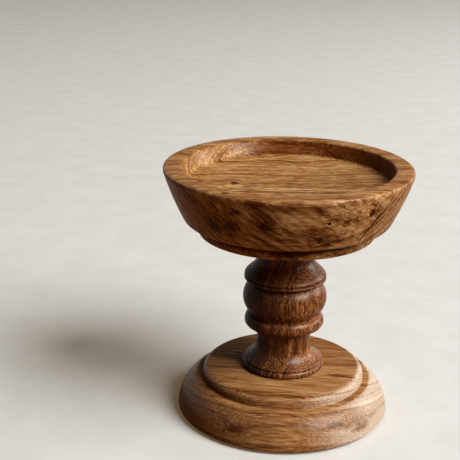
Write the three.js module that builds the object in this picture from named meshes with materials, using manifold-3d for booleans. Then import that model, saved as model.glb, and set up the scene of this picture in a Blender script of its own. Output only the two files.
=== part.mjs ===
import * as THREE from 'three';
import { mergeVertices } from 'three/addons/utils/BufferGeometryUtils.js';
import Module from 'manifold-3d';

// A turned wooden candle stand: dish, beaded stem and stepped base, in millimetres with Z up.

// Felt pads
const PAD_COUNT = 4;
const PAD_R = 7;
const PAD_H = 1.2;
const PAD_EDGE_INSET = 6;

// Base
const BASE_FLOOR_R = 52.6;
const BASE_LEDGE_R = 43.4;
const BASE_LEDGE_H = 16.05;
const BASE_TIER_R = 40.3;
const BASE_TIER_H = 5.5;
const BASE_TIER_ROUND = 4;
const BASE_FLOOR_EDGE = 0.6;

// Stem, each height measured along the axis from the foot up
const NECK_R = 13.3;
const FOOT_RING_R = 20.5;
const FOOT_RING_H = 3.4;
const TUCK_H = 0.6;
const BELL_R = 19.6;
const BELL_H = 9.2;
const BELL_EDGE_PULL = 0.7;
const BELL_NECK_PULL = 7;
const LOWER_NECK_H = 5;
const LOWER_COVE_R = 3.4;
const LOWER_RING_R = 19.65;
const LOWER_RING_RISE = 2.6;
const LOWER_RING_FALL = 3.9;
const QUIRK_R = 17.1;
const QUIRK_H = 0.8;
const BEAD_R = 20.65;
const BEAD_H = 15.9;
const LIP_R = 20.2;
const LIP_H = 2.4;
const NICK_H = 0.4;
const NICK_DEPTH = 0.5;
const SHOULDER_R = 20.1;
const SHOULDER_H = 9.8;
const SHOULDER_EDGE_PULL = 2;
const SHOULDER_NECK_PULL = 4.4;
const UPPER_NECK_H = 9.4;
const UPPER_COVE_R = 2.6;

// Dish
const RIM_R = 60.3;
const RIM_WIDTH = 9.5;
const RIM_ROUND = 1.2;
const RIM_INNER_ROUND = 0.8;
const RECESS_DEPTH = 7.6;
const RECESS_FLOOR_R = 48.1;
const RECESS_FILLET = 1.2;
const WALL_H = 26.3;
const WALL_FOOT_R = 49.4;
const WALL_FOOT_ROUND = 1.6;
const WALL_BULGE = 0.7;
const DISH_FOOT_R = 42.8;
const DISH_FOOT_H = 3.4;
const DISH_FOOT_ROUND = 1;
const DISH_QUIRK_DEPTH = 2.6;
const DISH_QUIRK_H = 3.2;

// Joinery
const FIT_CLEARANCE = 0.2;
const SPIGOT_R = 9;
const SPIGOT_L = 6;
const GLUE_ROOM = 0.5;
const DOWEL_R = 5;
const DOWEL_L = 28;
const DOWEL_FLUTES = 12;
const DOWEL_FLUTE_DEPTH = 0.35;
const DOWEL_CHAMFER = 0.8;
const SCREW_R = 2.4;
const SCREW_L = 40;
const SCREW_HEAD_R = 4.8;
const SCREW_TIP_L = 5;
const SCREW_RECESS_W = 1.3;
const SCREW_RECESS_SPAN = 5.2;
const SCREW_RECESS_DEPTH = 1.6;
const SCREW_SUNK = 4.2;
const COUNTERBORE_R = 5.8;

// Smoothness of the turned surfaces
const TURN_SEGMENTS = 48;
const PAD_SEGMENTS = 24;
const ROUND_STEPS = 3;
const RING_STEPS = 6;
const CURVE_STEPS = 8;

const QUARTER = Math.PI / 2;
const SAME_POINT = 0.0001;

// Heights that follow from the sizes above
const baseUnderZ = PAD_H;
const ledgeZ = baseUnderZ + BASE_LEDGE_H;
const stemZ = ledgeZ + BASE_TIER_H;
const ringsH = FOOT_RING_H + TUCK_H + BELL_H + LOWER_NECK_H + LOWER_COVE_R;
const middleH = LOWER_RING_RISE + LOWER_RING_FALL + QUIRK_H + BEAD_H + QUIRK_H + LIP_H + NICK_H;
const dishZ = stemZ + ringsH + middleH + SHOULDER_H + UPPER_NECK_H + UPPER_COVE_R;
const undersideZ = dishZ + DISH_FOOT_H + DISH_QUIRK_H;
const rimZ = undersideZ + WALL_H;
const recessZ = rimZ - RECESS_DEPTH;
const socketZ = stemZ - SPIGOT_L - GLUE_ROOM;
const screwHeadZ = baseUnderZ + SCREW_SUNK;
const screwHoleR = SCREW_R + FIT_CLEARANCE;
const dowelHoleR = DOWEL_R + FIT_CLEARANCE;
const dowelZ = dishZ - DOWEL_L / 2;

// Materials
const dishWood = new THREE.MeshStandardMaterial({ color: '#9c6a3c', roughness: 0.5, metalness: 0 });
const stemWood = new THREE.MeshStandardMaterial({ color: '#6e3f22', roughness: 0.42, metalness: 0 });
const baseWood = new THREE.MeshStandardMaterial({ color: '#b07f4c', roughness: 0.5, metalness: 0 });
const dowelWood = new THREE.MeshStandardMaterial({ color: '#cda878', roughness: 0.7, metalness: 0 });
const steel = new THREE.MeshStandardMaterial({ color: '#b4b2aa', roughness: 0.35, metalness: 1 });
const felt = new THREE.MeshStandardMaterial({ color: '#3a2c22', roughness: 0.95, metalness: 0 });

// The outline of a turned piece: points in radius and height, in order along its surface
class Outline {
  constructor(r, z) {
    this.points = [new THREE.Vector2(r, z)];
  }

  to(r, z) {
    const last = this.points[this.points.length - 1];
    const next = new THREE.Vector2(r, z);
    if (last.distanceTo(next) > SAME_POINT) this.points.push(next);
  }

  follow(curve, steps) {
    for (const point of curve.getPoints(steps)) this.to(point.x, point.y);
  }

  // Part of an ellipse about (r, z), from one angle to another
  arc(r, z, halfWidth, halfHeight, from, to, steps) {
    this.follow(new THREE.EllipseCurve(r, z, halfWidth, halfHeight, from, to, to < from), steps);
  }

  // A softened corner that leaves the outline at its last point and joins it again at the end point
  soften(cornerR, cornerZ, endR, endZ) {
    const start = this.points[this.points.length - 1];
    const corner = new THREE.Vector2(cornerR, cornerZ);
    const end = new THREE.Vector2(endR, endZ);
    this.follow(new THREE.QuadraticBezierCurve(start, corner, end), ROUND_STEPS);
  }

  // A line to the end point that stands out by the bulge at its middle
  bow(endR, endZ, bulge) {
    const start = this.points[this.points.length - 1];
    const end = new THREE.Vector2(endR, endZ);
    const along = end.clone().sub(start);
    const outwards = new THREE.Vector2(along.y, -along.x).setLength(2 * bulge);
    const middle = start.clone().add(end).multiplyScalar(0.5).add(outwards);
    this.follow(new THREE.QuadraticBezierCurve(start, middle, end), RING_STEPS);
  }

  // A double curve to the end point that leaves and arrives parallel to the axis
  ogee(endR, endZ, startPull, endPull) {
    const start = this.points[this.points.length - 1];
    const first = new THREE.Vector2(start.x, start.y + startPull);
    const second = new THREE.Vector2(endR, endZ - endPull);
    const end = new THREE.Vector2(endR, endZ);
    this.follow(new THREE.CubicBezierCurve(start, first, second, end), CURVE_STEPS);
  }

  turn(segments) {
    const geometry = new THREE.LatheGeometry(this.points, segments);
    geometry.rotateX(QUARTER);
    return geometry;
  }
}

function addPiece(group, name, geometry, material) {
  const mesh = new THREE.Mesh(geometry, material);
  mesh.name = name;
  group.add(mesh);
  return mesh;
}

// Base: floor edge, ovolo, ledge, top tier, spigot socket and screw hole
function makeBase() {
  const line = new Outline(COUNTERBORE_R, baseUnderZ);
  const spread = BASE_FLOOR_R - BASE_LEDGE_R;
  const ovoloR = (BASE_LEDGE_H * BASE_LEDGE_H + spread * spread) / (2 * spread);
  const edgeAngle = Math.asin(BASE_FLOOR_EDGE / ovoloR);
  const ledgeAngle = Math.asin(BASE_LEDGE_H / ovoloR);
  const tierRoundR = BASE_TIER_R - BASE_TIER_ROUND;
  const tierRoundZ = stemZ - BASE_TIER_ROUND;
  const socketR = SPIGOT_R + FIT_CLEARANCE;
  line.to(BASE_FLOOR_R - BASE_FLOOR_EDGE, baseUnderZ);
  line.arc(BASE_FLOOR_R - ovoloR, baseUnderZ, ovoloR, ovoloR, edgeAngle, ledgeAngle, CURVE_STEPS);
  line.to(BASE_TIER_R, ledgeZ);
  line.to(BASE_TIER_R, tierRoundZ);
  line.arc(tierRoundR, tierRoundZ, BASE_TIER_ROUND, BASE_TIER_ROUND, 0, QUARTER, RING_STEPS);
  line.to(socketR, stemZ);
  line.to(socketR, socketZ);
  line.to(screwHoleR, socketZ);
  line.to(screwHoleR, screwHeadZ + SCREW_HEAD_R - screwHoleR);
  line.to(SCREW_HEAD_R, screwHeadZ);
  line.to(COUNTERBORE_R, screwHeadZ);
  line.to(COUNTERBORE_R, baseUnderZ);
  return line.turn(TURN_SEGMENTS);
}

// Stem parts: each one draws its outline upwards from height z and returns where the next begins
function drawFootRing(line, z) {
  const half = FOOT_RING_H / 2;
  line.arc(FOOT_RING_R - half, z + half, half, half, -QUARTER, QUARTER, RING_STEPS);
  return z + FOOT_RING_H;
}

function drawBell(line, z) {
  const bellZ = z + TUCK_H;
  const neckZ = bellZ + BELL_H;
  line.to(BELL_R, bellZ);
  line.ogee(NECK_R, neckZ, BELL_EDGE_PULL, BELL_NECK_PULL);
  line.to(NECK_R, neckZ + LOWER_NECK_H);
  return neckZ + LOWER_NECK_H;
}

function drawLowerRing(line, z) {
  const bulge = LOWER_RING_R - QUIRK_R;
  const widestZ = z + LOWER_COVE_R + LOWER_RING_RISE;
  line.arc(NECK_R + LOWER_COVE_R, z, LOWER_COVE_R, LOWER_COVE_R, Math.PI, QUARTER, ROUND_STEPS);
  line.arc(QUIRK_R, widestZ, bulge, LOWER_RING_RISE, -QUARTER, 0, ROUND_STEPS);
  line.arc(QUIRK_R, widestZ, bulge, LOWER_RING_FALL, 0, QUARTER, ROUND_STEPS + 1);
  return widestZ + LOWER_RING_FALL + QUIRK_H;
}

function drawBead(line, z) {
  const half = BEAD_H / 2;
  const bulge = BEAD_R - QUIRK_R;
  const arcR = (half * half + bulge * bulge) / (2 * bulge);
  const spread = Math.asin(half / arcR);
  line.arc(BEAD_R - arcR, z + half, arcR, arcR, -spread, spread, CURVE_STEPS);
  return z + BEAD_H + QUIRK_H;
}

function drawShoulder(line, z) {
  const half = LIP_H / 2;
  const shoulderZ = z + LIP_H + NICK_H;
  const neckZ = shoulderZ + SHOULDER_H;
  line.arc(QUIRK_R, z + half, LIP_R - QUIRK_R, half, -QUARTER, QUARTER / 2, RING_STEPS);
  line.to(SHOULDER_R - NICK_DEPTH, z + LIP_H);
  line.to(SHOULDER_R, shoulderZ);
  line.ogee(NECK_R, neckZ, SHOULDER_EDGE_PULL, SHOULDER_NECK_PULL);
  line.to(NECK_R, neckZ + UPPER_NECK_H);
  return neckZ + UPPER_NECK_H;
}

// Stem: screw pilot and spigot below, turned outline, dowel hole above
function makeStem() {
  const spigotZ = stemZ - SPIGOT_L;
  const pilotTopZ = screwHeadZ + SCREW_L + GLUE_ROOM;
  const line = new Outline(0, pilotTopZ);
  line.to(SCREW_R, pilotTopZ - SCREW_R);
  line.to(SCREW_R, spigotZ);
  line.to(SPIGOT_R, spigotZ);
  line.to(SPIGOT_R, stemZ);
  const bellZ = drawFootRing(line, stemZ);
  const lowerRingZ = drawBell(line, bellZ);
  const beadZ = drawLowerRing(line, lowerRingZ);
  const shoulderZ = drawBead(line, beadZ);
  const topZ = drawShoulder(line, shoulderZ);
  line.arc(NECK_R + UPPER_COVE_R, topZ, UPPER_COVE_R, UPPER_COVE_R, Math.PI, QUARTER, ROUND_STEPS);
  line.to(dowelHoleR, dishZ);
  line.to(dowelHoleR, dowelZ);
  line.to(0, dowelZ);
  return line.turn(TURN_SEGMENTS);
}

// Dish: dowel hole, foot disc, quirk, tapered wall, flat rim, tapered inner wall and flat floor
function makeDish() {
  const dowelTopZ = dowelZ + DOWEL_L + GLUE_ROOM;
  const footR = DISH_FOOT_R - DISH_FOOT_ROUND;
  const footTopZ = dishZ + DISH_FOOT_H;
  const wallZ = undersideZ + WALL_FOOT_ROUND;
  const rimInnerR = RIM_R - RIM_WIDTH;
  const wallTaper = (RIM_R - WALL_FOOT_R) / WALL_H;
  const innerTaper = (rimInnerR - RECESS_FLOOR_R) / RECESS_DEPTH;
  const line = new Outline(0, dowelTopZ);
  line.to(dowelHoleR, dowelTopZ);
  line.to(dowelHoleR, dishZ);
  line.to(footR, dishZ);
  line.arc(footR, dishZ + DISH_FOOT_ROUND, DISH_FOOT_ROUND, DISH_FOOT_ROUND, -QUARTER, 0, ROUND_STEPS);
  line.arc(footR, footTopZ - DISH_FOOT_ROUND, DISH_FOOT_ROUND, DISH_FOOT_ROUND, 0, QUARTER, ROUND_STEPS);
  line.to(DISH_FOOT_R - DISH_QUIRK_DEPTH, footTopZ);
  line.to(DISH_FOOT_R - DISH_QUIRK_DEPTH, undersideZ);
  line.to(WALL_FOOT_R - WALL_FOOT_ROUND, undersideZ);
  line.soften(WALL_FOOT_R, undersideZ, WALL_FOOT_R + WALL_FOOT_ROUND * wallTaper, wallZ);
  line.bow(RIM_R - RIM_ROUND * wallTaper, rimZ - RIM_ROUND, WALL_BULGE);
  line.soften(RIM_R, rimZ, RIM_R - RIM_ROUND, rimZ);
  line.to(rimInnerR + RIM_INNER_ROUND, rimZ);
  line.soften(rimInnerR, rimZ, rimInnerR - RIM_INNER_ROUND * innerTaper, rimZ - RIM_INNER_ROUND);
  line.to(RECESS_FLOOR_R + RECESS_FILLET * innerTaper, recessZ + RECESS_FILLET);
  line.soften(RECESS_FLOOR_R, recessZ, RECESS_FLOOR_R - RECESS_FILLET, recessZ);
  line.to(0, recessZ);
  return line.turn(TURN_SEGMENTS);
}

// Dowel: fluted rod with chamfered ends
function makeDowel() {
  const outline = new THREE.Shape();
  const pitch = 2 * Math.PI / DOWEL_FLUTES;
  const fluteR = DOWEL_R - DOWEL_FLUTE_DEPTH;
  outline.moveTo(DOWEL_R, 0);
  for (let i = 0; i < DOWEL_FLUTES; i++) {
    const start = i * pitch;
    const land = start + pitch / 2;
    const middle = start + pitch * 3 / 4;
    const end = start + pitch;
    outline.lineTo(DOWEL_R * Math.cos(land), DOWEL_R * Math.sin(land));
    outline.lineTo(fluteR * Math.cos(middle), fluteR * Math.sin(middle));
    if (i < DOWEL_FLUTES - 1) outline.lineTo(DOWEL_R * Math.cos(end), DOWEL_R * Math.sin(end));
  }
  outline.closePath();
  const geometry = new THREE.ExtrudeGeometry(outline, {
    depth: DOWEL_L - 2 * DOWEL_CHAMFER,
    bevelEnabled: true,
    bevelThickness: DOWEL_CHAMFER,
    bevelSize: DOWEL_CHAMFER,
    bevelOffset: -DOWEL_CHAMFER,
    bevelSegments: 1,
  });
  geometry.translate(0, 0, DOWEL_CHAMFER);
  return geometry;
}

// A closed geometry as a solid, without the flat triangles that a turned shape has at its axis
function toSolid(wasm, geometry) {
  const bare = geometry.clone();
  bare.deleteAttribute('normal');
  bare.deleteAttribute('uv');
  const merged = mergeVertices(bare, SAME_POINT);
  const index = merged.index.array;
  const triangles = [];
  for (let i = 0; i < index.length; i += 3) {
    const [a, b, c] = [index[i], index[i + 1], index[i + 2]];
    if (a !== b && b !== c && c !== a) triangles.push(a, b, c);
  }
  return new wasm.Manifold(new wasm.Mesh({
    numProp: 3,
    vertProperties: new Float32Array(merged.attributes.position.array),
    triVerts: new Uint32Array(triangles),
  }));
}

function toGeometry(solid) {
  const mesh = solid.getMesh();
  const geometry = new THREE.BufferGeometry();
  geometry.setAttribute('position', new THREE.BufferAttribute(mesh.vertProperties, 3));
  geometry.setIndex(new THREE.BufferAttribute(mesh.triVerts, 1));
  geometry.computeVertexNormals();
  return geometry;
}

// Screw: countersunk head with a cross recess, plain shank and pointed tip
function makeScrew(wasm) {
  const line = new Outline(0, 0);
  line.to(SCREW_HEAD_R, 0);
  line.to(SCREW_R, SCREW_HEAD_R - SCREW_R);
  line.to(SCREW_R, SCREW_L - SCREW_TIP_L);
  line.to(0, SCREW_L);
  let solid = toSolid(wasm, line.turn(TURN_SEGMENTS));
  for (const angle of [0, QUARTER]) {
    const slot = new THREE.BoxGeometry(SCREW_RECESS_SPAN, SCREW_RECESS_W, 2 * SCREW_RECESS_DEPTH);
    slot.rotateZ(angle);
    solid = solid.subtract(toSolid(wasm, slot));
  }
  return toGeometry(solid);
}

// Felt pad: a disc under the base
function makePad() {
  const line = new Outline(0, 0);
  line.to(PAD_R, 0);
  line.to(PAD_R, PAD_H);
  line.to(0, PAD_H);
  return line.turn(PAD_SEGMENTS);
}

const wasm = await Module();
wasm.setup();

const stand = new THREE.Group();
addPiece(stand, 'dish', makeDish(), dishWood);
addPiece(stand, 'stem', makeStem(), stemWood);
addPiece(stand, 'base', makeBase(), baseWood);
addPiece(stand, 'dish_dowel', makeDowel(), dowelWood).position.z = dowelZ;
addPiece(stand, 'stem_screw', makeScrew(wasm), steel).position.z = screwHeadZ;
const padCircleR = BASE_FLOOR_R - PAD_EDGE_INSET - PAD_R;
for (let i = 0; i < PAD_COUNT; i++) {
  const angle = (i + 0.5) * 2 * Math.PI / PAD_COUNT;
  const pad = addPiece(stand, 'felt_pad_' + (i + 1), makePad(), felt);
  pad.position.set(padCircleR * Math.cos(angle), padCircleR * Math.sin(angle), 0);
}

export default stand;
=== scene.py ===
"""A turned wooden candle stand on a pale floor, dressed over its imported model. Metres, Z up."""

import math

import bmesh
import bpy
from mathutils import Matrix, Vector
from mathutils.geometry import interpolate_bezier


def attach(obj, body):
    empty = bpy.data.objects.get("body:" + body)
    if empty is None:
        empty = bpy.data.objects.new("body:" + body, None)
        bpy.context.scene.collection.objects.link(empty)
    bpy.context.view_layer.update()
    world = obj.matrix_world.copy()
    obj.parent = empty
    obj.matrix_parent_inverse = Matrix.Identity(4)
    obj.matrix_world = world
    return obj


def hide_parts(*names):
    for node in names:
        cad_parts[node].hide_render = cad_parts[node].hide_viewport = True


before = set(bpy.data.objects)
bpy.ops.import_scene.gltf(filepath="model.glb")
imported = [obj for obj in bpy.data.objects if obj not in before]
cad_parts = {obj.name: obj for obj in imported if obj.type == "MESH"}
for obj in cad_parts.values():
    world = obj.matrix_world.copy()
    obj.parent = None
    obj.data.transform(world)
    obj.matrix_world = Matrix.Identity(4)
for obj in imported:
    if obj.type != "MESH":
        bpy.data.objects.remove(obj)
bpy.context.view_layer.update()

# Base: one disc of light brown hardwood, turned with its grain lying across.
# An ovolo slope rises to a narrow ledge and a tier with a rounded edge. The top has a socket
# for the stem's spigot, and the underside a counterbored hole for the screw.
PAD_H = 0.0012
BASE_FLOOR_R = 0.0526
BASE_FLOOR_EDGE = 0.0006
BASE_LEDGE_R = 0.0434
BASE_LEDGE_H = 0.01605
BASE_LEDGE_SOFT = 0.0007
BASE_TIER_R = 0.0403
BASE_TIER_H = 0.0055
BASE_TIER_ROUND = 0.004
SPIGOT_R = 0.009
SPIGOT_L = 0.006
GLUE_ROOM = 0.0005
FIT_CLEARANCE = 0.0002
SCREW_R = 0.0024
SCREW_HEAD_R = 0.0048
SCREW_SUNK = 0.0042
COUNTERBORE_R = 0.0058
SPIN_STEPS = 192
SHARP_ANGLE = math.radians(35)
NEAR = 0.000002
QUARTER = math.pi / 2

base_under_z = PAD_H
ledge_z = base_under_z + BASE_LEDGE_H
stem_z = ledge_z + BASE_TIER_H
socket_z = stem_z - SPIGOT_L - GLUE_ROOM
screw_head_z = base_under_z + SCREW_SUNK

# Finishes: places are in millimetres, a soft step has two ends, and a knot a centre and a reach.
MM_PER_M = 1000
KNOT_RAGGED = 1.4
KNOT_SPREAD = 3
KNOT_SWERVE = 1.6
KNOT_HEART = (0.2, 1.1)
FACING_LEVEL = (0.1, 0.7)
HANDLED_OVER = (0.3, 0.6)
HANDLED_UNDER = (0.85, 0.98)
COAT_ROUGHNESS = 0.28
BASE_DARK = "#4c280a"
BASE_BROWN = "#84562e"
BASE_TAN = "#a97a4b"
BASE_PALE = "#cba576"
BASE_STAIN = "#a3683f"
BASE_TONES = ((0.28, BASE_DARK), (0.43, BASE_BROWN), (0.56, BASE_TAN), (0.74, BASE_PALE))
# Painted shade: the base's tone is darker towards its left side, away from the key lamp.
BASE_PAINTED_SHADE_X = (-50, 0)
BASE_KNOTS = (
    ((-21, -46.2, 9.3), (13, 4, 2.4)),
    ((38.3, -34.7, 6.9), (11, 7, 2.2)),
    ((25.5, -42.3, 11.6), (10, 4, 1.6)),
    ((28.4, -13, 22.7), (12, 2.6, 2)),
)
# Painted highlight: end grain on the right, lit side of the base is blended to these pale tones.
PAINTED_HIGHLIGHT_TONES = ((0.32, "#a98c6c"), (0.48, "#d2c2af"), (0.62, "#dfd4c6"))
PAINTED_HIGHLIGHT_X = (4, 42)
PAINTED_HIGHLIGHT_WANDER = 60
PAINTED_HIGHLIGHT_END_GRAIN = (0.15, 0.6)


class Turning:
    """A piece on the lathe: its outline is drawn in radius and height, then spun round."""

    def __init__(self, name, r, z):
        bpy.ops.object.select_all(action="DESELECT")
        bpy.ops.mesh.primitive_plane_add(size=0.001, location=(r, 0, z))
        bpy.ops.object.transform_apply(location=True)
        self.piece = bpy.context.object
        self.piece.name = name
        bpy.ops.object.mode_set(mode="EDIT")
        bpy.ops.mesh.select_mode(type="VERT")
        bpy.ops.mesh.merge(type="CENTER")
        self.r, self.z = r, z

    def line(self, r, z):
        step = (r - self.r, 0, z - self.z)
        bpy.ops.mesh.extrude_vertices_move(TRANSFORM_OT_translate={"value": step})
        self.r, self.z = r, z

    def arc(self, r, z, turn, steps):
        """Swings the last point round (r, z), anticlockwise where the turn is positive."""
        bpy.ops.mesh.spin(steps=steps, angle=turn, center=(r, 0, z), axis=(0, 1, 0))
        out, up = self.r - r, self.z - z
        self.r = r + out * math.cos(turn) - up * math.sin(turn)
        self.z = z + out * math.sin(turn) + up * math.cos(turn)

    def oval(self, r, z, half_width, half_height, start, end, steps):
        """Draws the part of an oval round (r, z) that lies between two angles."""
        for i in range(steps + 1):
            angle = start + (end - start) * i / steps
            self.line(r + half_width * math.cos(angle), z + half_height * math.sin(angle))

    def ogee(self, r, z, start_pull, end_pull, steps):
        """A double curve that leaves and arrives parallel to the axis."""
        start = Vector((self.r, self.z))
        end = Vector((r, z))
        rise = Vector((0, 1))
        pulls = (start + rise * start_pull, end - rise * end_pull)
        for point in interpolate_bezier(start, *pulls, end, steps + 1)[1:]:
            self.line(point.x, point.y)

    def bow(self, r, z, bulge, steps):
        """A line that stands out by the bulge at its middle."""
        along = Vector((r - self.r, z - self.z))
        outwards = Vector((along.y, -along.x)).normalized() * bulge * 4
        start = Vector((self.r, self.z))
        for i in range(1, steps + 1):
            part = i / steps
            point = start + along * part + outwards * part * (1 - part)
            self.line(point.x, point.y)

    def soften(self, size, *corners):
        """Rounds corners of the outline, each given by its radius and height."""
        places = [Vector((r, 0, z)) for r, z in corners]
        drawn = bmesh.from_edit_mesh(self.piece.data)
        for vertex in drawn.verts:
            vertex.select_set(any((vertex.co - place).length < NEAR for place in places))
        bpy.ops.mesh.bevel(offset=size, segments=4, affect="VERTICES")

    def turn(self):
        bpy.ops.mesh.select_all(action="SELECT")
        bpy.ops.mesh.remove_doubles(threshold=NEAR)
        bpy.ops.mesh.spin(steps=SPIN_STEPS, angle=math.tau, center=(0, 0, 0), axis=(0, 0, 1))
        bpy.ops.mesh.select_all(action="SELECT")
        bpy.ops.mesh.remove_doubles(threshold=NEAR)
        bpy.ops.mesh.normals_make_consistent(inside=False)
        bpy.ops.object.mode_set(mode="OBJECT")
        bpy.ops.object.shade_smooth_by_angle(angle=SHARP_ANGLE)
        return self.piece


def turn_base():
    spread = BASE_FLOOR_R - BASE_LEDGE_R
    ovolo_r = (BASE_LEDGE_H**2 + spread**2) / (2 * spread)
    ovolo_centre = BASE_FLOOR_R - ovolo_r
    edge_angle = math.asin(BASE_FLOOR_EDGE / ovolo_r)
    ledge_angle = math.asin(BASE_LEDGE_H / ovolo_r)
    tier_round_z = stem_z - BASE_TIER_ROUND
    socket_r = SPIGOT_R + FIT_CLEARANCE
    screw_hole_r = SCREW_R + FIT_CLEARANCE
    lathe = Turning("turned_base", COUNTERBORE_R, base_under_z)
    lathe.line(BASE_FLOOR_R - BASE_FLOOR_EDGE, base_under_z)
    lathe.line(ovolo_centre + ovolo_r * math.cos(edge_angle), base_under_z + BASE_FLOOR_EDGE)
    lathe.arc(ovolo_centre, base_under_z, ledge_angle - edge_angle, steps=24)
    lathe.line(BASE_TIER_R, ledge_z)
    lathe.line(BASE_TIER_R, tier_round_z)
    lathe.arc(BASE_TIER_R - BASE_TIER_ROUND, tier_round_z, QUARTER, steps=10)
    lathe.line(socket_r, stem_z)
    lathe.line(socket_r, socket_z)
    lathe.line(screw_hole_r, socket_z)
    lathe.line(screw_hole_r, screw_head_z + SCREW_HEAD_R - screw_hole_r)
    lathe.line(SCREW_HEAD_R, screw_head_z)
    lathe.line(COUNTERBORE_R, screw_head_z)
    lathe.line(COUNTERBORE_R, base_under_z)
    lathe.soften(BASE_LEDGE_SOFT, (BASE_LEDGE_R, ledge_z))
    lathe.soften(BASE_FLOOR_EDGE / 3, (BASE_FLOOR_R - BASE_FLOOR_EDGE, base_under_z))
    return lathe.turn()


class Signal:
    """An output of a finish's node. Sums and products with it add the nodes that they need."""

    def __init__(self, finish, socket):
        self.finish = finish
        self.socket = socket

    def of(self, name):
        """Another output of the same node."""
        return Signal(self.finish, self.socket.node.outputs[name])

    def part(self, axis):
        """One of the three numbers of a place or a direction."""
        return self.finish.node("ShaderNodeSeparateXYZ", {}, self, output=axis)

    def length(self):
        settings = {"operation": "LENGTH"}
        return self.finish.node("ShaderNodeVectorMath", settings, self, output="Value")

    def combined(self, operation, first, second):
        if self.socket.type == "VALUE":
            return self.finish.node("ShaderNodeMath", {"operation": operation}, first, second)
        sides = [(side,) * 3 if isinstance(side, (int, float)) else side for side in (first, second)]
        return self.finish.node("ShaderNodeVectorMath", {"operation": operation}, *sides)

    def __add__(self, other):
        return self.combined("ADD", self, other)

    def __radd__(self, other):
        return self.combined("ADD", other, self)

    def __sub__(self, other):
        return self.combined("SUBTRACT", self, other)

    def __rsub__(self, other):
        return self.combined("SUBTRACT", other, self)

    def __mul__(self, other):
        return self.combined("MULTIPLY", self, other)

    def __pow__(self, other):
        return self.combined("POWER", self, other)

    def __abs__(self):
        return self.finish.node("ShaderNodeMath", {"operation": "ABSOLUTE"}, self)


class Finish:
    """A material, or the sky, in the making."""

    def __init__(self, name, kind="materials"):
        self.made = getattr(bpy.data, kind).new(name)
        self.made.use_nodes = True
        self.tree = self.made.node_tree
        self.tree.nodes.clear()

    def node(self, kind, settings, *values, output=0, **named):
        """A node with its settings, then its open inputs in order, then others by name."""
        made = self.tree.nodes.new(kind)
        for setting, value in settings.items():
            if setting == "stops":
                self.set_stops(made.color_ramp, value)
            else:
                setattr(made, setting, value)
        open_inputs = [socket for socket in made.inputs if socket.enabled]
        wanted = list(zip(open_inputs, values))
        for name, value in named.items():
            wanted.append((made.inputs[name.replace("_", " ")], value))
        for socket, value in wanted:
            if isinstance(value, Signal):
                self.tree.links.new(value.socket, socket)
            else:
                socket.default_value = value
        if output:
            return Signal(self, made.outputs[output])
        return Signal(self, next(socket for socket in made.outputs if socket.enabled))

    def set_stops(self, ramp, stops):
        while len(ramp.elements) < len(stops):
            ramp.elements.new(1)
        for element, (position, shade) in zip(ramp.elements, stops):
            element.position = position
            element.color = shade

    def place_in_mm(self):
        return self.node("ShaderNodeTexCoord", {}, output="Object") * MM_PER_M

    def blend(self, factor, first, second, way="MIX"):
        settings = {"data_type": "RGBA", "blend_type": way}
        return self.node("ShaderNodeMix", settings, factor, first, second)

    def noise(self, place, detail, roughness=0.5, dimensions="3D", output="Fac"):
        settings = {"noise_dimensions": dimensions}
        named = {"Scale": 1, "Detail": detail, "Roughness": roughness}
        return self.node("ShaderNodeTexNoise", settings, place, output=output, **named)

    def step(self, value, low, high):
        """0 below the low value, 1 above the high one, with a soft rise between them."""
        settings = {"interpolation_type": "SMOOTHSTEP"}
        return self.node("ShaderNodeMapRange", settings, value, low, high, 0, 1)

    def dress(self, piece, surface):
        end = self.tree.nodes.new("ShaderNodeOutputMaterial")
        self.tree.links.new(surface.socket, end.inputs["Surface"])
        piece.data.materials.clear()
        piece.data.materials.append(self.made)


def colour(code):
    """A linear colour from its usual six-figure code, by the sRGB curve."""
    parts = [int(code[i : i + 2], 16) / 255 for i in (1, 3, 5)]
    return (*[p / 12.92 if p < 0.04045 else ((p + 0.055) / 1.055) ** 2.4 for p in parts], 1)


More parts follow.
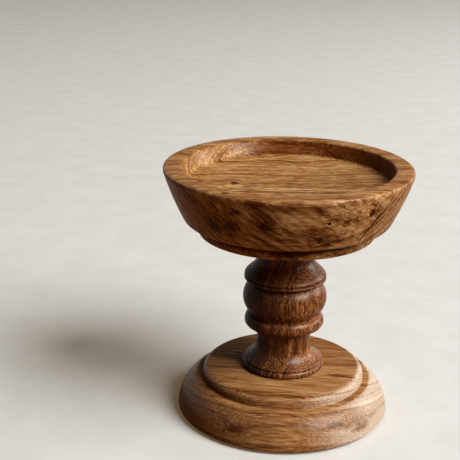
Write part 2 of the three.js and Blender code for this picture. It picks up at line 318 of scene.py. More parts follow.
class Wood(Finish):
    """Oiled hardwood with its fibres along X of the grain's own frame, in millimetres."""

    def __init__(self, name, lie, pith, sway, sway_scale, feather, knots=()):
        super().__init__(name)
        self.place = self.place_in_mm()
        straight = self.node("ShaderNodeMapping", {}, self.place, Rotation=lie)
        drift = self.noise(straight * sway_scale, 2, output="Color") - 0.5
        self.grain = straight + drift * sway
        from_pith = ((self.grain - pith) * (0, 1, 1)).length()
        self.ring = from_pith + (self.fibres(length=14, width=1.1) - 0.5) * feather
        self.knotted = 0
        for centre, reach in knots:
            self.grow_round(centre, reach)
        normal = self.node("ShaderNodeNewGeometry", {}, output="Normal")
        self.end_grain = abs(self.node("ShaderNodeMapping", {}, normal, Rotation=lie).part("X"))
        upward = normal.part("Z")
        self.level = self.step(upward, *FACING_LEVEL)
        self.handled = self.step(upward, *HANDLED_OVER) * (1 - self.step(upward, *HANDLED_UNDER))

    def grow_round(self, centre, reach):
        """A knot: the grain parts and closes round it, and its heart is dark."""
        away = (self.place - centre) * tuple(1 / size for size in reach)
        off = away.length() + (self.fibres(length=5, width=2) - 0.5) * KNOT_RAGGED
        self.ring = self.ring + (1 - self.step(off, 0, KNOT_SPREAD)) * min(reach) * KNOT_SWERVE
        self.knotted = self.knotted + (1 - self.step(off, *KNOT_HEART))

    def growth(self, width, detail):
        """Growth bands of uneven width, light and dark."""
        return self.noise(self.ring * (1 / width), detail, dimensions="1D")

    def seams(self, width, thin):
        """Thin dark lines between growth bands, unevenly apart."""
        return 1 - self.step(abs(self.growth(width, 1) - 0.5), 0, thin)

    def fibres(self, length, width):
        return self.noise(self.grain * (1 / length, 1 / width, 1 / width), 3, 0.6)

    def pores(self, length, width, amount):
        """Dark open vessels: short dashes along the fibres."""
        cells = self.grain * (1 / length, 1 / width, 1 / width)
        gap = self.node("ShaderNodeTexVoronoi", {}, cells, Scale=1, output="Distance")
        return 1 - self.step(gap, amount * 0.6, amount)

    def tone(self, *layers):
        """Layers laid over a middle tone of 0.5, each with its strength."""
        return sum((layer - 0.5) * strength for layer, strength in layers) + 0.5

    def tinted(self, tone, stops):
        ramp = [(position, colour(code)) for position, code in stops]
        return self.node("ShaderNodeValToRGB", {"stops": ramp}, tone)

    def oiled(self, piece, shade, relief, roughness, coat=0, shine=0.35):
        lift = self.node("ShaderNodeBump", {}, Strength=1, Distance=0.001, Height=relief)
        surface = self.node(
            "ShaderNodeBsdfPrincipled",
            {},
            Base_Color=shade,
            Roughness=roughness,
            Normal=lift,
            Coat_Weight=coat,
            Coat_Roughness=COAT_ROUGHNESS,
            Specular_IOR_Level=shine,
        )
        self.dress(piece, surface)


def finish_base(piece):
    wood = Wood(
        "base_wood",
        lie=(0, 0, math.radians(3)),
        pith=(0, -62, -186),
        sway=(8, 5, 5),
        sway_scale=(0.01, 0.03, 0.03),
        feather=2,
        knots=BASE_KNOTS,
    )
    across = wood.place.part("X")
    fibre = wood.fibres(18, 0.7)
    fibre_layer = (fibre, 0.8 - wood.end_grain * 0.5)
    tone = wood.tone((wood.growth(10, 2), 0.3), (wood.growth(1.8, 3), 0.4), fibre_layer)
    tone = tone - wood.seams(5, 0.05) * 0.1 - wood.knotted * 0.06
    # Painted shade: the tone is darker towards the left side, away from the key lamp.
    tone = tone + wood.step(across, *BASE_PAINTED_SHADE_X) * 0.1 - 0.1
    shade = wood.tinted(tone, BASE_TONES)
    # Painted highlight: end grain turns pale towards the right, lit side of the base.
    painted_highlight = wood.step(across + (wood.growth(6, 3) - 0.5) * PAINTED_HIGHLIGHT_WANDER, *PAINTED_HIGHLIGHT_X)
    painted_highlight = painted_highlight * wood.step(wood.end_grain, *PAINTED_HIGHLIGHT_END_GRAIN)
    shade = wood.blend(painted_highlight * 0.75, shade, wood.tinted(tone, PAINTED_HIGHLIGHT_TONES))
    shade = wood.blend(wood.knotted * 0.65, shade, colour(BASE_STAIN), "MULTIPLY")
    pores = wood.pores(4, 0.7, 0.25) * wood.step(wood.fibres(40, 6), 0.36, 0.52)
    shade = wood.blend(pores * 0.8, shade, colour(BASE_DARK))
    relief = fibre * 0.03 - pores * 0.09
    roughness = 0.46 - fibre * 0.1 + pores * 0.2
    wood.oiled(piece, shade, relief, roughness, coat=wood.handled * 0.4, shine=0.02)


base = turn_base()
finish_base(base)
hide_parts("base")
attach(base, "root")

# Stem: a spindle of dark red-brown hardwood, grain upright, turned between centres.
# From the foot up it has a half-round ring, a bell, a neck, a ring, a bead, a lip and a
# shoulder. A spigot below is glued in the base, and a hole in the top takes the dowel.
NECK_R = 0.0133
FOOT_RING_R = 0.0205
FOOT_RING_H = 0.0034
TUCK_H = 0.0006
BELL_R = 0.0196
BELL_H = 0.0092
BELL_EDGE_PULL = 0.0007
BELL_NECK_PULL = 0.007
LOWER_NECK_H = 0.005
LOWER_COVE_R = 0.0034
LOWER_RING_R = 0.01965
LOWER_RING_RISE = 0.0026
LOWER_RING_FALL = 0.0039
QUIRK_R = 0.0171
QUIRK_H = 0.0008
BEAD_R = 0.02065
BEAD_H = 0.0159
LIP_R = 0.0202
LIP_H = 0.0024
NICK_H = 0.0004
NICK_DEPTH = 0.0005
SHOULDER_R = 0.0201
SHOULDER_H = 0.0098
SHOULDER_EDGE_PULL = 0.002
SHOULDER_NECK_PULL = 0.0044
UPPER_NECK_H = 0.0094
UPPER_COVE_R = 0.0026
SCREW_L = 0.04
DOWEL_R = 0.005
DOWEL_L = 0.028
STEM_DARK = "#1d0b03"
STEM_BROWN = "#502a10"
STEM_RED = "#855029"
STEM_PALE = "#bd8c60"
STEM_TONES = ((0.3, STEM_DARK), (0.46, STEM_BROWN), (0.6, STEM_RED), (0.78, STEM_PALE))
# Painted shade and light: the stem's tone is darker on its left side and a little paler on its right,
# lit side.
STEM_PAINTED_SHADE_X = (-18, 0)
STEM_PAINTED_LIGHT_X = (0, 18)
STEM_COATED_X = (-16, 4)

lower_h = FOOT_RING_H + TUCK_H + BELL_H + LOWER_NECK_H + LOWER_COVE_R
middle_h = LOWER_RING_RISE + LOWER_RING_FALL + QUIRK_H + BEAD_H + QUIRK_H + LIP_H + NICK_H
dish_z = stem_z + lower_h + middle_h + SHOULDER_H + UPPER_NECK_H + UPPER_COVE_R
dowel_z = dish_z - DOWEL_L / 2
dowel_hole_r = DOWEL_R + FIT_CLEARANCE


def turn_foot(lathe):
    half = FOOT_RING_H / 2
    lathe.line(FOOT_RING_R - half, stem_z)
    lathe.arc(FOOT_RING_R - half, stem_z + half, math.pi, steps=16)
    bell_z = lathe.z + TUCK_H
    lathe.line(BELL_R, bell_z)
    lathe.ogee(NECK_R, bell_z + BELL_H, BELL_EDGE_PULL, BELL_NECK_PULL, steps=20)
    lathe.line(NECK_R, lathe.z + LOWER_NECK_H)


def turn_rings(lathe):
    lathe.arc(NECK_R + LOWER_COVE_R, lathe.z, -QUARTER, steps=10)
    bulge = LOWER_RING_R - QUIRK_R
    widest_z = lathe.z + LOWER_RING_RISE
    lathe.oval(QUIRK_R, widest_z, bulge, LOWER_RING_RISE, -QUARTER, 0, steps=8)
    lathe.oval(QUIRK_R, widest_z, bulge, LOWER_RING_FALL, 0, QUARTER, steps=10)
    lathe.line(QUIRK_R, lathe.z + QUIRK_H)
    half = BEAD_H / 2
    bulge = BEAD_R - QUIRK_R
    bead_arc_r = (half * half + bulge * bulge) / (2 * bulge)
    bead_turn = 2 * math.asin(half / bead_arc_r)
    lathe.arc(BEAD_R - bead_arc_r, lathe.z + half, bead_turn, steps=28)
    lathe.line(QUIRK_R, lathe.z + QUIRK_H)


def turn_shoulder(lathe):
    lip_top_z = lathe.z + LIP_H
    lip_z = lathe.z + LIP_H / 2
    lathe.oval(QUIRK_R, lip_z, LIP_R - QUIRK_R, LIP_H / 2, -QUARTER, QUARTER / 2, steps=12)
    lathe.line(SHOULDER_R - NICK_DEPTH, lip_top_z)
    lathe.line(SHOULDER_R, lip_top_z + NICK_H)
    shoulder_top_z = lathe.z + SHOULDER_H
    lathe.ogee(NECK_R, shoulder_top_z, SHOULDER_EDGE_PULL, SHOULDER_NECK_PULL, steps=22)
    lathe.line(NECK_R, lathe.z + UPPER_NECK_H)
    lathe.arc(NECK_R + UPPER_COVE_R, lathe.z, -QUARTER, steps=8)


def turn_stem():
    pilot_top_z = screw_head_z + SCREW_L + GLUE_ROOM
    spigot_z = stem_z - SPIGOT_L
    lathe = Turning("turned_stem", 0, pilot_top_z)
    lathe.line(SCREW_R, pilot_top_z - SCREW_R)
    lathe.line(SCREW_R, spigot_z)
    lathe.line(SPIGOT_R, spigot_z)
    lathe.line(SPIGOT_R, stem_z)
    turn_foot(lathe)
    turn_rings(lathe)
    turn_shoulder(lathe)
    lathe.line(dowel_hole_r, dish_z)
    lathe.line(dowel_hole_r, dowel_z)
    lathe.line(0, dowel_z)
    return lathe.turn()


def finish_stem(piece):
    wood = Wood(
        "stem_wood",
        lie=(0, QUARTER, 0),
        pith=(0, 60, 120),
        sway=(3, 2, 2),
        sway_scale=(0.02, 0.05, 0.05),
        feather=2,
    )
    across = wood.place.part("X")
    fibre = wood.fibres(14, 0.8)
    bands = ((wood.growth(7, 2), 0.4), (wood.growth(1.6, 2), 0.25))
    tone = wood.tone(*bands, (fibre, 0.7), (wood.fibres(3, 0.6), 0.6))
    # Painted shade and light: darker on the left side, a little paler on the right, lit side.
    tone = tone + wood.step(across, *STEM_PAINTED_SHADE_X) * 0.16
    tone = tone + wood.step(across, *STEM_PAINTED_LIGHT_X) * 0.05 - 0.15
    shade = wood.tinted(tone, STEM_TONES)
    pores = wood.pores(5, 1, 0.3)
    shade = wood.blend(pores * 0.8, shade, colour(STEM_DARK))
    relief = fibre * 0.08 - pores * 0.15
    roughness = 0.38 - fibre * 0.08 + pores * 0.25
    coat = wood.handled * wood.step(across, *STEM_COATED_X) * 0.45 + 0.03
    wood.oiled(piece, shade, relief, roughness, coat, shine=0.05)


stem = turn_stem()
finish_stem(stem)
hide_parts("stem")
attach(stem, "root")

# Screw: a zinc-plated wood screw with a countersunk head and a cross recess, driven up
# through the base into the stem.
SCREW_TIP_L = 0.007
SCREW_ROOT_R = 0.0017
SCREW_PITCH = 0.0018
SCREW_THREAD_W = 0.0007
SCREW_THREAD_STEPS = 24
SCREW_BARE_L = 0.0125
SCREW_RIM = 0.0004
SCREW_RECESS_SPAN = 0.0052
SCREW_RECESS_W = 0.0013
SCREW_RECESS_DEPTH = 0.0016
SCREW_RECESS_TAPER = 0.55
FACING_UP = 0.9
ZINC_PALE = "#b9b6ae"
ZINC_DULL = "#8f8b80"

screw_tip_z = screw_head_z + SCREW_L


def apply_to(piece, kind, **settings):
    """Adds a modifier, sets it and applies it."""
    bpy.ops.object.select_all(action="DESELECT")
    piece.select_set(True)
    bpy.context.view_layer.objects.active = piece
    modifier = piece.modifiers.new(kind.lower(), kind)
    for setting, value in settings.items():
        setattr(modifier, setting, value)
    bpy.ops.object.modifier_apply(modifier=modifier.name)


def take_into(piece, other, operation):
    """Joins the other piece to this one, or cuts it away, and removes it."""
    apply_to(piece, "BOOLEAN", operation=operation, object=other, solver="EXACT")
    bpy.data.objects.remove(other)


def clean_cuts():
    """Merges the points that joining and cutting leave almost on top of each other."""
    bpy.ops.object.mode_set(mode="EDIT")
    bpy.ops.mesh.select_mode(type="VERT")
    bpy.ops.mesh.select_all(action="SELECT")
    bpy.ops.mesh.remove_doubles(threshold=NEAR)
    bpy.ops.mesh.dissolve_degenerate(threshold=NEAR)
    bpy.ops.object.mode_set(mode="OBJECT")
    bpy.ops.object.shade_smooth_by_angle(angle=SHARP_ANGLE)


def turn_screw():
    lathe = Turning("zinc_screw", 0, screw_head_z)
    lathe.line(SCREW_HEAD_R, screw_head_z)
    lathe.line(SCREW_HEAD_R, screw_head_z + SCREW_RIM)
    lathe.line(SCREW_R, screw_head_z + SCREW_RIM + SCREW_HEAD_R - SCREW_R)
    lathe.line(SCREW_R, screw_head_z + SCREW_BARE_L)
    lathe.line(SCREW_ROOT_R, screw_head_z + SCREW_BARE_L + SCREW_R - SCREW_ROOT_R)
    lathe.line(SCREW_ROOT_R, screw_tip_z - SCREW_TIP_L)
    lathe.line(0, screw_tip_z)
    return lathe.turn()


def make_thread():
    """A ridge of three sides that winds up the shank."""
    start_z = screw_head_z + SCREW_BARE_L
    turns = int((screw_tip_z - SCREW_TIP_L - start_z) / SCREW_PITCH)
    bpy.ops.mesh.primitive_circle_add(vertices=3, radius=SCREW_THREAD_W / 2, fill_type="NGON")
    ridge = bpy.context.object
    bpy.ops.object.mode_set(mode="EDIT")
    drawn = bmesh.from_edit_mesh(ridge.data)
    inner_r = SCREW_ROOT_R - SCREW_THREAD_W / 4
    corners = [(SCREW_R, 0), (inner_r, SCREW_THREAD_W / 2), (inner_r, -SCREW_THREAD_W / 2)]
    for vertex, (r, z) in zip(drawn.verts, corners):
        vertex.co = (r, 0, start_z + SCREW_THREAD_W / 2 + z)
    bmesh.update_edit_mesh(ridge.data)
    bpy.ops.object.mode_set(mode="OBJECT")
    apply_to(
        ridge,
        "SCREW",
        axis="Z",
        angle=math.tau,
        screw_offset=SCREW_PITCH,
        iterations=turns,
        steps=SCREW_THREAD_STEPS,
        render_steps=SCREW_THREAD_STEPS,
        use_merge_vertices=True,
    )
    bpy.ops.object.mode_set(mode="EDIT")
    bpy.ops.mesh.select_all(action="SELECT")
    bpy.ops.mesh.remove_doubles(threshold=NEAR)
    bpy.ops.mesh.select_all(action="DESELECT")
    bpy.ops.mesh.select_non_manifold()
    bpy.ops.mesh.fill_holes(sides=3)
    bpy.ops.mesh.select_all(action="SELECT")
    bpy.ops.mesh.normals_make_consistent(inside=False)
    bpy.ops.object.mode_set(mode="OBJECT")
    return ridge


def make_recess_bar(angle):
    """One bar of the cross recess, narrower at its bottom."""
    place = (0, 0, screw_head_z)
    bpy.ops.object.select_all(action="DESELECT")
    bpy.ops.mesh.primitive_cube_add(size=1, location=place, rotation=(0, 0, angle))
    bar = bpy.context.object
    bar.scale = (SCREW_RECESS_SPAN, SCREW_RECESS_W, 2 * SCREW_RECESS_DEPTH)
    bpy.ops.object.transform_apply(location=True, rotation=True, scale=True)
    bpy.ops.object.mode_set(mode="EDIT")
    bpy.ops.mesh.select_mode(type="FACE")
    drawn = bmesh.from_edit_mesh(bar.data)
    for face in drawn.faces:
        face.select_set(face.normal.z > FACING_UP)
    taper = (SCREW_RECESS_TAPER, SCREW_RECESS_TAPER, 1)
    bottom = (0, 0, screw_head_z + SCREW_RECESS_DEPTH)
    bpy.ops.transform.resize(value=taper, center_override=bottom)
    bpy.ops.object.mode_set(mode="OBJECT")
    return bar


def finish_screw(piece):
    zinc = Finish("screw_zinc")
    place = zinc.place_in_mm()
    bloom = zinc.noise(place * 0.8, 4, 0.6)
    spangle = zinc.node("ShaderNodeTexVoronoi", {}, place, Scale=2.5, output="Distance")
    shade = zinc.blend(zinc.step(bloom, 0.4, 0.75), colour(ZINC_PALE), colour(ZINC_DULL))
    roughness = 0.26 + bloom * 0.16 + spangle * 0.06
    lift = zinc.node("ShaderNodeBump", {}, Strength=0.4, Distance=0.0001, Height=bloom)
    surface = zinc.node(
        "ShaderNodeBsdfPrincipled", {}, Base_Color=shade, Metallic=1, Roughness=roughness, Normal=lift
    )
    zinc.dress(piece, surface)


screw = turn_screw()
take_into(screw, make_thread(), "UNION")
for bar_angle in (QUARTER / 2, -QUARTER / 2):
    take_into(screw, make_recess_bar(bar_angle), "DIFFERENCE")
clean_cuts()
finish_screw(screw)
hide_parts("stem_screw")
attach(screw, "root")

# Dowel: a fluted rod of bare pale hardwood, glued half in the stem and half in the dish.
# The flutes let air and spare glue out of the holes, and both ends are chamfered.
DOWEL_FLUTES = 12
SIDES_PER_FLUTE = 4
DOWEL_FLUTE_DEPTH = 0.00035
DOWEL_CHAMFER = 0.0008
DOWEL_TONES = ((0.3, "#a67a4a"), (0.7, "#dcbc8c"))


def make_dowel():
    middle = (0, 0, dowel_z + DOWEL_L / 2)
    sides = SIDES_PER_FLUTE * DOWEL_FLUTES
    bpy.ops.object.select_all(action="DESELECT")
    bpy.ops.mesh.primitive_cylinder_add(
        vertices=sides, radius=DOWEL_R, depth=DOWEL_L, location=middle
    )
    dowel = bpy.context.object
    dowel.name = "fluted_dowel"
    bpy.ops.object.transform_apply(location=True)
    bpy.ops.object.mode_set(mode="EDIT")
    bpy.ops.mesh.select_mode(type="EDGE")
    bpy.ops.mesh.select_all(action="DESELECT")
    drawn = bmesh.from_edit_mesh(dowel.data)
    for edge in drawn.edges:
        here, there = (vertex.co for vertex in edge.verts)
        upright = abs(here.z - there.z) > DOWEL_L / 2
        around = math.atan2(here.y, here.x) / math.tau * sides
        edge.select_set(upright and round(around) % SIDES_PER_FLUTE == 0)
    groove = 1 - DOWEL_FLUTE_DEPTH / DOWEL_R
    bpy.ops.transform.resize(value=(groove, groove, 1), center_override=middle)
    bpy.ops.mesh.select_all(action="DESELECT")
    drawn = bmesh.from_edit_mesh(dowel.data)
    for edge in drawn.edges:
        edge.select_set(abs(edge.verts[0].co.z - edge.verts[1].co.z) < NEAR)
    bpy.ops.mesh.bevel(offset=DOWEL_CHAMFER, segments=2, affect="EDGES")
    bpy.ops.object.mode_set(mode="OBJECT")
    bpy.ops.object.shade_smooth_by_angle(angle=SHARP_ANGLE)
    return dowel


def finish_dowel(piece):
    wood = Wood(
        "dowel_wood",
        lie=(0, QUARTER, 0),
        pith=(0, 60, 10),
        sway=(1, 1, 1),
        sway_scale=(0.02, 0.05, 0.05),
        feather=0.5,
    )
    fibre = wood.fibres(9, 0.4)
    tone = wood.tone((wood.growth(1.5, 2), 0.8), (fibre, 0.8))
    wood.oiled(piece, wood.tinted(tone, DOWEL_TONES), fibre * 0.05, 0.75 - fibre * 0.1)


dowel = make_dowel()
finish_dowel(dowel)
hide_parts("dish_dowel")
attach(dowel, "root")

# Dish: a thick disc of mid-brown, wild-grained hardwood, turned with its grain lying across.
# It has a foot disc over a quirk, a tapered outer wall, a flat rim and a flat-floored recess
# for the candle. The wood has dark knots, and the wall three fine checks and a pin hole.
RIM_R = 0.0603
RIM_WIDTH = 0.0095
RIM_ROUND = 0.002
RIM_INNER_ROUND = 0.0008
RECESS_DEPTH = 0.0076
RECESS_FLOOR_R = 0.0481
RECESS_FILLET = 0.0012
WALL_H = 0.0263
WALL_FOOT_R = 0.0494
WALL_FOOT_ROUND = 0.0016
WALL_BULGE = 0.0007
DISH_FOOT_R = 0.0428
DISH_FOOT_H = 0.0034
DISH_FOOT_ROUND = 0.001
DISH_QUIRK_DEPTH = 0.0026
DISH_QUIRK_H = 0.0032

# Places on the wall are in degrees round from the front and millimetres up.
LONG_CHECK = (
    (52.6, 23.2), (50.2, 19.8), (48.7, 15.9), (45.2, 12.8), (42.5, 9.2), (40.3, 4.8), (39.9, 1.4)
)
MIDDLE_CHECK = ((44.6, 23.1), (43.9, 20.6), (41, 18.9), (40.3, 16.5), (37.6, 13.6), (35.5, 11.4))
SHORT_CHECK = ((61.2, 22), (58.6, 20.2), (57.6, 18))
DISH_CHECKS = ((LONG_CHECK, 0.0012), (MIDDLE_CHECK, 0.0009), (SHORT_CHECK, 0.0007))
CHECK_DEPTH = 0.0007
CHECK_END_THIN = 0.3
PIN_HOLE = (19, 14.9)
PIN_HOLE_R = 0.0008
PIN_HOLE_L = 0.003
CUT_LEAST = 0.00012

DISH_DARK = "#432208"
DISH_BROWN = "#8c5726"
DISH_TAN = "#b38654"
DISH_PALE = "#dab480"
DISH_STAIN = "#9a6a48"
# Painted shade on the recess wall towards the right, where the rim shades it from the lamp.
RECESS_PAINTED_SHADE = "#9a684c"
# Dark dirt and painted shade inside the checks and the pin hole.
DISH_CUT_DIRT_AND_SHADE = "#1c0d04"
DISH_TONES = ((0.22, DISH_DARK), (0.41, DISH_BROWN), (0.57, DISH_TAN), (0.8, DISH_PALE))
DISH_KNOTS = (
    ((-25.3, -7, 118.2), (2.4, 3.8, 1.8)),
    ((-26.9, -49.6, 125.8), (2.2, 2, 1.5)),
    ((-31.3, -43.3, 107.8), (4.5, 3, 3.5)),
    ((-22, -53.6, 118.7), (4.5, 2.6, 2.2)),
    ((-8.9, -54.7, 112.2), (5, 2.4, 3)),
    ((37, -43.7, 117), (3, 2.2, 2.4)),
    ((14.2, -50.8, 106), (1.4, 2, 3)),
)
BLOTCH_SLANT = math.radians(-35)
WILD_FRONT = (24, 50)
LINING_LOW = (-7.5, -6.6)
LINING_HIGH = (-0.9, -0.3)
LINING_OUT = (52, 55)
SHADED_X = (-32, -8)
RIM_FROM_R = (48, 50)
POLISHED_FROM_R = (51, 54)

underside_z = dish_z + DISH_FOOT_H + DISH_QUIRK_H
rim_z = underside_z + WALL_H
recess_z = rim_z - RECESS_DEPTH


def turn_dish():
    foot_top_z = dish_z + DISH_FOOT_H
    quirk_r = DISH_FOOT_R - DISH_QUIRK_DEPTH
    rim_inner_r = RIM_R - RIM_WIDTH
    lathe = Turning("turned_dish", 0, dowel_z + DOWEL_L + GLUE_ROOM)
    lathe.line(dowel_hole_r, lathe.z)
    lathe.line(dowel_hole_r, dish_z)
    lathe.line(DISH_FOOT_R, dish_z)
    lathe.line(DISH_FOOT_R, foot_top_z)
    lathe.line(quirk_r, foot_top_z)
    lathe.line(quirk_r, underside_z)
    lathe.line(WALL_FOOT_R, underside_z)
    lathe.bow(RIM_R, rim_z, WALL_BULGE, steps=12)
    lathe.line(rim_inner_r, rim_z)
    lathe.line(RECESS_FLOOR_R, recess_z)
    lathe.line(0, recess_z)
    lathe.soften(DISH_FOOT_ROUND, (DISH_FOOT_R, dish_z), (DISH_FOOT_R, foot_top_z))
    lathe.soften(WALL_FOOT_ROUND, (WALL_FOOT_R, underside_z))
    lathe.soften(RIM_ROUND, (RIM_R, rim_z))
    lathe.soften(RIM_INNER_ROUND, (rim_inner_r, rim_z))
    lathe.soften(RECESS_FILLET, (RECESS_FLOOR_R, recess_z))
    return lathe.turn()


def on_wall(around, up, deeper=0):
    """A place on the dish's wall, or in it where it is given a depth."""
    part = up / MM_PER_M / WALL_H
    slant = math.hypot(WALL_H, RIM_R - WALL_FOOT_R)
    bulge = 4 * WALL_BULGE * part * (1 - part) * slant / WALL_H
    r = WALL_FOOT_R + (RIM_R - WALL_FOOT_R) * part + bulge - deeper
    turn = math.radians(around)
    return Vector((r * math.sin(turn), -r * math.cos(turn), underside_z + up / MM_PER_M))


def draw_check(line, width, deeper):
    """A thin rod that follows a line on the wall and thins out at its ends."""
    places = [on_wall(*point, deeper) for point in line]
    bpy.ops.object.select_all(action="DESELECT")
    bpy.ops.mesh.primitive_plane_add(size=width, location=places[0])
    bpy.ops.object.transform_apply(location=True)
    bpy.ops.object.mode_set(mode="EDIT")
    bpy.ops.mesh.select_mode(type="VERT")
    bpy.ops.mesh.merge(type="CENTER")
    for here, there in zip(places, places[1:]):
        bpy.ops.mesh.extrude_vertices_move(TRANSFORM_OT_translate={"value": there - here})
    bpy.ops.object.mode_set(mode="OBJECT")
    bpy.ops.object.convert(target="CURVE")
    rod = bpy.context.object
    rod.data.bevel_depth = width / 2
    rod.data.bevel_resolution = 1
    rod.data.use_fill_caps = True
    points = rod.data.splines[0].points
    for i, point in enumerate(points):
        swell = math.sin(math.pi * i / (len(points) - 1))
        point.radius = CHECK_END_THIN + (1 - CHECK_END_THIN) * swell
    bpy.ops.object.convert(target="MESH")
    rod = bpy.context.object
    bpy.ops.object.mode_set(mode="EDIT")
    bpy.ops.mesh.select_all(action="SELECT")
    bpy.ops.mesh.remove_doubles(threshold=NEAR)
    bpy.ops.mesh.normals_make_consistent(inside=False)
    bpy.ops.object.mode_set(mode="OBJECT")
    return rod


def make_pin(around, up):
    place = on_wall(around, up)
    aim = Vector((place.x, place.y, 0)).to_track_quat("Z", "Y").to_euler()
    bpy.ops.object.select_all(action="DESELECT")
    bpy.ops.mesh.primitive_cylinder_add(
        vertices=12, radius=PIN_HOLE_R, depth=PIN_HOLE_L, location=place, rotation=aim
    )
    bpy.ops.object.transform_apply(location=True, rotation=True, scale=True)
    return bpy.context.object


def mark_cuts(piece):
    """Marks the faces inside the checks and the pin hole, which the finish darkens with dirt and
    painted shade.
    """
    marks = piece.data.attributes.new("cut", "FLOAT", "FACE")
    for face, mark in zip(piece.data.polygons, marks.data):
        up = face.center.z - underside_z
        inside = on_wall(0, up * MM_PER_M).xy.length - face.center.xy.length
        on_the_wall = WALL_FOOT_ROUND < up < WALL_H - RIM_ROUND
        mark.value = float(on_the_wall and CUT_LEAST < inside < PIN_HOLE_L)


def mask_lining(wood, out):
    """The upright wall of the recess, between its floor and the rim."""
    height = wood.place.part("Z") - rim_z * MM_PER_M
    above_floor = wood.step(height, *LINING_LOW)
    return above_floor * (1 - wood.step(height, *LINING_HIGH)) * (1 - wood.step(out, *LINING_OUT))


def tone_dish(wood, fibre, blotch, swirl, wild):
    """The figure: wild and blotchy on the front of the wall, with even fibres elsewhere."""
    fleck = wood.fibres(4, 0.5)
    streak = wood.fibres(40, 2.2)
    plain = 1 - wild * 0.5 - wood.level * 0.15
    bands = ((wood.growth(9, 2), 0.25), (wood.growth(3.2, 3), 0.3))
    tone = wood.tone(*bands, (wood.growth(1.1, 3), plain * 0.45))
    tone = tone + (fibre - 0.5) * plain * 0.9 + (fleck - 0.5) * plain * 0.9
    tone = tone + (streak - 0.5) * 0.4
    tone = tone + (blotch - 0.5) * (wild * 0.6 + 0.3) + (swirl - 0.5) * wild
    tone = tone - wood.seams(5, 0.04) * wood.step(streak, 0.45, 0.6) * 0.15 + wild * 0.05
    return tone - wood.knotted * (wood.level * 0.2 + 0.3)


def finish_dish(piece):
    wood = Wood(
        "dish_wood",
        lie=(0, 0, math.radians(-5)),
        pith=(0, 160, -110),
        sway=(16, 14, 14),
        sway_scale=(0.014, 0.032, 0.032),
        feather=1.8,
        knots=DISH_KNOTS,
    )
    fibre = wood.fibres(12, 0.6)
    slant = wood.node("ShaderNodeMapping", {}, wood.grain, Rotation=(0, BLOTCH_SLANT, 0))
    blotch = wood.noise(slant * (0.05, 0.12, 0.12), 3, 0.55)
    swirl = wood.noise(slant * (0.04, 0.6, 0.6), 3, 0.6)
    wild = wood.step(wood.place.part("Y") * -1, *WILD_FRONT) * (1 - wood.level)
    out = (wood.place * (1, 1, 0)).length()
    lining = mask_lining(wood, out)
    # Painted shade: the recess wall is darkened towards the right, where the rim shades it.
    shaded = lining * wood.step(wood.place.part("X"), *SHADED_X)
    shade = wood.tinted(tone_dish(wood, fibre, blotch, swirl, wild), DISH_TONES)
    stain = wild * (1 - wood.step(blotch, 0.32, 0.54))
    shade = wood.blend(stain * 0.55, shade, colour(DISH_STAIN), "MULTIPLY")
    shade = wood.blend(shaded * 0.9, shade, colour(RECESS_PAINTED_SHADE), "MULTIPLY")
    rim = wood.level * wood.step(out, *RIM_FROM_R)
    shade = wood.blend(rim * 0.25, shade, colour(DISH_BROWN))
    pores = wood.pores(5, 0.9, 0.26)
    shade = wood.blend(pores * 0.7, shade, colour(DISH_DARK))
    shade = wood.blend(wood.end_grain**3 * 0.12, shade, colour(DISH_BROWN), "MULTIPLY")
    # Dark dirt and painted shade inside the checks and the pin hole.
    cut = wood.node("ShaderNodeAttribute", {"attribute_name": "cut"}, output="Fac")
    shade = wood.blend(cut * 0.9, shade, colour(DISH_CUT_DIRT_AND_SHADE))
    relief = fibre * 0.035 - pores * 0.08
    roughness = 0.46 - fibre * 0.1 + pores * 0.2
    polish = wood.handled * wood.step(out, *POLISHED_FROM_R)
    coat = polish * 0.7 + (lining - shaded) * 0.35
    wood.oiled(piece, shade, relief, roughness, coat, shine=0.02)


dish = turn_dish()
for line, width in DISH_CHECKS:
    for deeper in (0, CHECK_DEPTH):
        take_into(dish, draw_check(line, width, deeper), "DIFFERENCE")
take_into(dish, make_pin(*PIN_HOLE), "DIFFERENCE")
clean_cuts()
mark_cuts(dish)
finish_dish(dish)
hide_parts("dish")
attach(dish, "root")

# Felt pads: four discs punched from a thin sheet of dark pressed felt.
# They are glued under the base in a square, a little in from its edge.
PAD_R = 0.007
PAD_COUNT = 4
PAD_EDGE_INSET = 0.006
PAD_SOFT = 0.0003
FELT_DARK = "#2b1e16"
FELT_BROWN = "#4a382b"


def make_pad(name, x, y):
    bpy.ops.object.select_all(action="DESELECT")
    bpy.ops.mesh.primitive_cylinder_add(
        vertices=64, radius=PAD_R, depth=PAD_H, end_fill_type="NOTHING", location=(x, y, PAD_H / 2)
    )
    pad = bpy.context.object
    pad.name = name
    bpy.ops.object.transform_apply(location=True)
    bpy.ops.object.mode_set(mode="EDIT")
    bpy.ops.mesh.select_mode(type="EDGE")
    bpy.ops.mesh.select_non_manifold()
    bpy.ops.mesh.edge_face_add()
    bpy.ops.mesh.select_all(action="SELECT")
    bpy.ops.mesh.normals_make_consistent(inside=False)
    bpy.ops.mesh.select_all(action="DESELECT")
    drawn = bmesh.from_edit_mesh(pad.data)
    for edge in drawn.edges:
        edge.select_set(abs(edge.verts[0].co.z - edge.verts[1].co.z) < NEAR)
    bpy.ops.mesh.bevel(offset=PAD_SOFT, segments=3, affect="EDGES")
    bpy.ops.object.mode_set(mode="OBJECT")
    bpy.ops.object.shade_smooth_by_angle(angle=SHARP_ANGLE)
    return pad


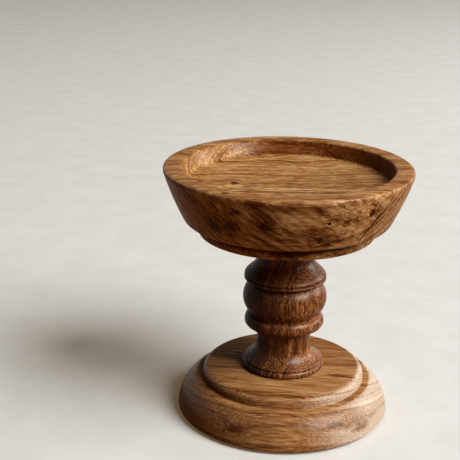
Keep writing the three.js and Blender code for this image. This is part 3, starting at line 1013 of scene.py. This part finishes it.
def finish_pads(pads):
    felt = Finish("pressed_felt")
    place = felt.place_in_mm()
    matted = felt.noise(place * 2.2, 6, 0.7)
    hairs = felt.noise(place * (9, 2, 6), 3, 0.6) * 0.5 + felt.noise(place * (2, 9, 6), 3, 0.6) * 0.5
    pale = felt.step(matted * 0.5 + hairs * 0.5, 0.35, 0.65)
    surface = felt.node(
        "ShaderNodeBsdfPrincipled",
        {},
        Base_Color=felt.blend(pale, colour(FELT_DARK), colour(FELT_BROWN)),
        Roughness=0.95,
        Normal=felt.node("ShaderNodeBump", {}, Strength=1, Distance=0.0004, Height=hairs),
        Sheen_Weight=0.3,
        Sheen_Roughness=0.5,
    )
    for pad in pads:
        felt.dress(pad, surface)


pad_circle_r = BASE_FLOOR_R - PAD_EDGE_INSET - PAD_R
pads = []
for i in range(PAD_COUNT):
    pad_angle = (i + 0.5) * math.tau / PAD_COUNT
    pad_place = (pad_circle_r * math.cos(pad_angle), pad_circle_r * math.sin(pad_angle))
    pads.append(make_pad(f"pad_{i + 1}", *pad_place))
finish_pads(pads)
for i, pad in enumerate(pads):
    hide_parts(f"felt_pad_{i + 1}")
    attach(pad, "root")

# Floor, light and camera: a pale floor under a dim warm sky, a broad soft lamp from the
# right and in front, a small low one from the right and behind, and a camera that stands
# close to the stand and looks a little down on it.
FLOOR_SIZE = 12
FLOOR_PALE = "#d9dfe3"
FLOOR_SHADE = "#d3d8da"
FLOOR_BOUNCE = "#80562e"
FLOOR_LIFT = 0.1
FLOOR_LIFT_WARM = "#ffd9a6"
LAMPS = {
    "key_lamp": dict(around=62, up=42, far=4, size=2.8, power=235, tint=(1, 0.955, 0.9)),
    "back_lamp": dict(around=114, up=20, far=2, size=0.9, power=12, tint=(1, 0.98, 0.95)),
}
SKY_STRENGTH = 0.035
SKY_WARM = "#ffe3bd"
SKY_PALE = "#d0cdc6"
CAMERA_PLACE = (0, -0.49491, 0.25844)
CAMERA_YAW = math.radians(-3.18)
CAMERA_DOWN = math.radians(18.51)
CAMERA_ROLL = math.radians(0.74)
CAMERA_LENS = 84.13
CAMERA_SENSOR = 36


def shown_rays(finish):
    """1 for the camera's own rays and for what gloss and clear things show, otherwise 0."""
    camera = finish.node("ShaderNodeLightPath", {}, output="Is Camera Ray")
    return camera + camera.of("Is Glossy Ray") + camera.of("Is Transmission Ray")


def lay_floor():
    """A floor that looks pale, throws warm brown light up and doesn't show from below."""
    bpy.ops.object.select_all(action="DESELECT")
    bpy.ops.mesh.primitive_plane_add(size=FLOOR_SIZE)
    floor = bpy.context.object
    floor.name = "floor"
    plaster = Finish("pale_floor")
    place = plaster.node("ShaderNodeTexCoord", {}, output="Object")
    mottle = plaster.noise(place * 40, 5, 0.6)
    shade = plaster.blend(plaster.step(mottle, 0.3, 0.7), colour(FLOOR_SHADE), colour(FLOOR_PALE))
    seen = plaster.node(
        "ShaderNodeBsdfPrincipled",
        {},
        Base_Color=shade,
        Roughness=0.9,
        Specular_IOR_Level=0,
        Emission_Color=colour(FLOOR_LIFT_WARM),
        Emission_Strength=FLOOR_LIFT,
    )
    bounced = plaster.node("ShaderNodeBsdfDiffuse", {}, colour(FLOOR_BOUNCE))
    above = plaster.node("ShaderNodeMixShader", {}, shown_rays(plaster), bounced, seen)
    below = plaster.node("ShaderNodeBsdfTransparent", {})
    under = plaster.node("ShaderNodeNewGeometry", {}, output="Backfacing")
    plaster.dress(floor, plaster.node("ShaderNodeMixShader", {}, under, above, below))


def hang_lamp(name, around, up, far, size, power, tint):
    """A round lamp aimed at the stand, by its degrees round from the front and up."""
    around, up = math.radians(around), math.radians(up)
    bpy.ops.object.light_add(type="AREA")
    lamp = bpy.context.object
    lamp.name = name
    lamp.data.shape = "DISK"
    lamp.data.size = size
    lamp.data.energy = power
    lamp.data.color = tint
    level = math.cos(up)
    towards = Vector((math.sin(around) * level, -math.cos(around) * level, math.sin(up)))
    lamp.location = Vector((0, 0, dish_z / 2)) + towards * far
    lamp.rotation_euler = towards.to_track_quat("Z", "Y").to_euler()


def light_sky():
    """A dim warm sky, which looks as pale as the floor."""
    sky = Finish("studio", "worlds")
    dim = sky.node("ShaderNodeBackground", {}, colour(SKY_WARM), SKY_STRENGTH)
    pale = sky.node("ShaderNodeBackground", {}, colour(SKY_PALE), 1)
    shown = sky.node("ShaderNodeMixShader", {}, shown_rays(sky), dim, pale)
    end = sky.tree.nodes.new("ShaderNodeOutputWorld")
    sky.tree.links.new(shown.socket, end.inputs["Surface"])
    bpy.context.scene.world = sky.made


def set_camera():
    bpy.ops.object.camera_add()
    camera = bpy.context.object
    camera.data.lens = CAMERA_LENS
    camera.data.sensor_width = CAMERA_SENSOR
    ahead = Vector(
        (
            math.sin(CAMERA_YAW) * math.cos(CAMERA_DOWN),
            math.cos(CAMERA_YAW) * math.cos(CAMERA_DOWN),
            -math.sin(CAMERA_DOWN),
        )
    )
    level = Vector((math.cos(CAMERA_YAW), -math.sin(CAMERA_YAW), 0))
    upright = level.cross(ahead)
    right = level * math.cos(CAMERA_ROLL) + upright * math.sin(CAMERA_ROLL)
    top = upright * math.cos(CAMERA_ROLL) - level * math.sin(CAMERA_ROLL)
    turned = Matrix((right, top, -ahead)).transposed().to_4x4()
    camera.matrix_world = Matrix.Translation(CAMERA_PLACE) @ turned
    bpy.context.scene.camera = camera


lay_floor()
for name, lamp in LAMPS.items():
    hang_lamp(name, **lamp)
light_sky()
set_camera()
bpy.context.scene.view_settings.view_transform = "Standard"
